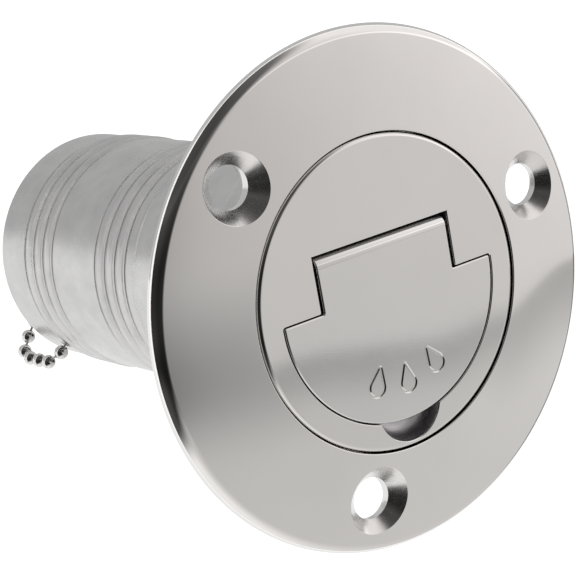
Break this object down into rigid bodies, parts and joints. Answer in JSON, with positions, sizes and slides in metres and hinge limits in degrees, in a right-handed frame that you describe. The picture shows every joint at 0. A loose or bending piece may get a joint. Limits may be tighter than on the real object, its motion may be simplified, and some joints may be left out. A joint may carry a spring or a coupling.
{
  "type": "deck fill cap",
  "caption": "Round domed deck fill plate with a long ridged hose neck, a flush screw cap turned by a flip-up lever, and a bead chain tether.",
  "frame": {"origin": "on the neck's axis, in the plane of the plate's underside, where it meets the deck", "axes": "+Z out of the deck along the neck's axis; one screw hole lies at -Y"},
  "size_m": [0.076, 0.076, 0.0904],
  "materials": {
    "plate_steel": "mirror polished face, satin cast neck",
    "cap_steel": "polished",
    "lever_steel": "satin polished",
    "pin_steel": "turned",
    "chain_steel": "tumbled bright",
    "seal_rubber": "matte moulded"
  },
  "bodies": {
    "plate": {"deck_plate": "plate_steel", "chain_stop": "chain_steel", "chain_bead_anchor": "chain_steel", "loop_bead_01": "chain_steel"},
    "tether": {"swivel_eye": "chain_steel", "chain_coupling": "chain_steel", "run_bead_02": "chain_steel", "run_bead_03": "chain_steel", "run_bead_04": "chain_steel", "run_bead_05": "chain_steel", "run_bead_06": "chain_steel", "run_bead_07": "chain_steel", "run_bead_08": "chain_steel", "run_bead_09": "chain_steel", "run_bead_10": "chain_steel", "run_bead_11": "chain_steel", "run_bead_12": "chain_steel", "run_bead_13": "chain_steel", "run_bead_14": "chain_steel", "run_bead_15": "chain_steel", "run_bead_16": "chain_steel", "run_bead_17": "chain_steel", "run_bead_18": "chain_steel", "run_bead_19": "chain_steel", "run_bead_20": "chain_steel", "run_bead_21": "chain_steel"},
    "cap": {"screw_cap": "cap_steel", "hinge_pin": "pin_steel", "o_ring": "seal_rubber", "swivel_rivet": "pin_steel"},
    "lever": {"flip_lever": "lever_steel"},
    "loop_02": {"loop_bead_02": "chain_steel"},
    "loop_03": {"loop_bead_03": "chain_steel"},
    "loop_04": {"loop_bead_04": "chain_steel"},
    "loop_05": {"loop_bead_05": "chain_steel"},
    "loop_06": {"loop_bead_06": "chain_steel"},
    "loop_07": {"loop_bead_07": "chain_steel"},
    "loop_08": {"loop_bead_08": "chain_steel"},
    "loop_09": {"loop_bead_09": "chain_steel"},
    "loop_10": {"loop_bead_10": "chain_steel"},
    "loop_11": {"loop_bead_11": "chain_steel"},
    "run_01": {"run_bead_01": "chain_steel"}
  },
  "joints": [
    {"name": "cap_rise", "type": "slide", "parent": "plate", "child": "tether", "axis": [0, 0, 1], "range_m": [0, 0.0128]},
    {"name": "cap_turn", "type": "hinge", "parent": "tether", "child": "cap", "pos_m": [0, 0, 0], "axis": [0, 0, 1], "range_deg": [0, 1995.67]},
    {"name": "lever_flip", "type": "hinge", "parent": "cap", "child": "lever", "pos_m": [-0.00172, 0.00668, 0.0029], "axis": [-0.9686, -0.2487, 0], "range_deg": [0, 90]},
    {"name": "loop_02_bend", "type": "hinge", "parent": "plate", "child": "loop_02", "pos_m": [-0.01204, -0.01927, -0.07282], "axis": [-0.848, 0.5299, 0], "range_deg": [0, 60.56]},
    {"name": "loop_03_bend", "type": "hinge", "parent": "loop_02", "child": "loop_03", "pos_m": [-0.01211, -0.01938, -0.07591], "axis": [-0.848, 0.5299, 0], "range_deg": [-50.16, 0]},
    {"name": "loop_04_bend", "type": "hinge", "parent": "loop_03", "child": "loop_04", "pos_m": [-0.01212, -0.01939, -0.07901], "axis": [-0.848, 0.5299, 0], "range_deg": [-35.35, 0]},
    {"name": "loop_05_bend", "type": "hinge", "parent": "loop_04", "child": "loop_05", "pos_m": [-0.01165, -0.01864, -0.08198], "axis": [-0.848, 0.5299, 0], "range_deg": [-5.97, 0]},
    {"name": "loop_06_bend", "type": "hinge", "parent": "loop_05", "child": "loop_06", "pos_m": [-0.01021, -0.01633, -0.08348], "axis": [-0.848, 0.5299, 0], "range_deg": [0, 0.913]},
    {"name": "loop_07_bend", "type": "hinge", "parent": "loop_06", "child": "loop_07", "pos_m": [-0.00862, -0.0138, -0.08431], "axis": [-0.848, 0.5299, 0], "range_deg": [-6.9, 0]},
    {"name": "loop_08_bend", "type": "hinge", "parent": "loop_07", "child": "loop_08", "pos_m": [-0.007, -0.0112, -0.08479], "axis": [-0.848, 0.5299, 0], "range_deg": [-0.117, 0]},
    {"name": "loop_09_bend", "type": "hinge", "parent": "loop_08", "child": "loop_09", "pos_m": [-0.00539, -0.00862, -0.08419], "axis": [-0.848, 0.5299, 0], "range_deg": [0, 16.49]},
    {"name": "loop_10_bend", "type": "hinge", "parent": "loop_09", "child": "loop_10", "pos_m": [-0.00461, -0.00738, -0.08146], "axis": [-0.848, 0.5299, 0], "range_deg": [0, 33.93]},
    {"name": "loop_11_bend", "type": "hinge", "parent": "loop_10", "child": "loop_11", "pos_m": [-0.00529, -0.00847, -0.07863], "axis": [-0.848, 0.5299, 0], "range_deg": [0, 42.74]},
    {"name": "run_01_bend", "type": "hinge", "parent": "tether", "child": "run_01", "pos_m": [-0.008, -0.01281, -0.07564], "axis": [-0.848, 0.5299, 0], "range_deg": [0, 28.62]}
  ],
  "couplings": [
    {"joint": "cap_rise", "follows": "cap_turn", "m_per_rad": 0.00036749},
    {"joint": "loop_02_bend", "follows": "cap_turn", "ratio": 0.030336},
    {"joint": "loop_03_bend", "follows": "cap_turn", "ratio": -0.025123},
    {"joint": "loop_04_bend", "follows": "cap_turn", "ratio": -0.017702},
    {"joint": "loop_05_bend", "follows": "cap_turn", "ratio": -0.0029805},
    {"joint": "loop_06_bend", "follows": "cap_turn", "ratio": 0.0004473},
    {"joint": "loop_07_bend", "follows": "cap_turn", "ratio": -0.0034489},
    {"joint": "loop_08_bend", "follows": "cap_turn", "ratio": -0.00004863},
    {"joint": "loop_09_bend", "follows": "cap_turn", "ratio": 0.0082517},
    {"joint": "loop_10_bend", "follows": "cap_turn", "ratio": 0.016991},
    {"joint": "loop_11_bend", "follows": "cap_turn", "ratio": 0.021408},
    {"joint": "run_01_bend", "follows": "cap_turn", "ratio": 0.014329}
  ]
}
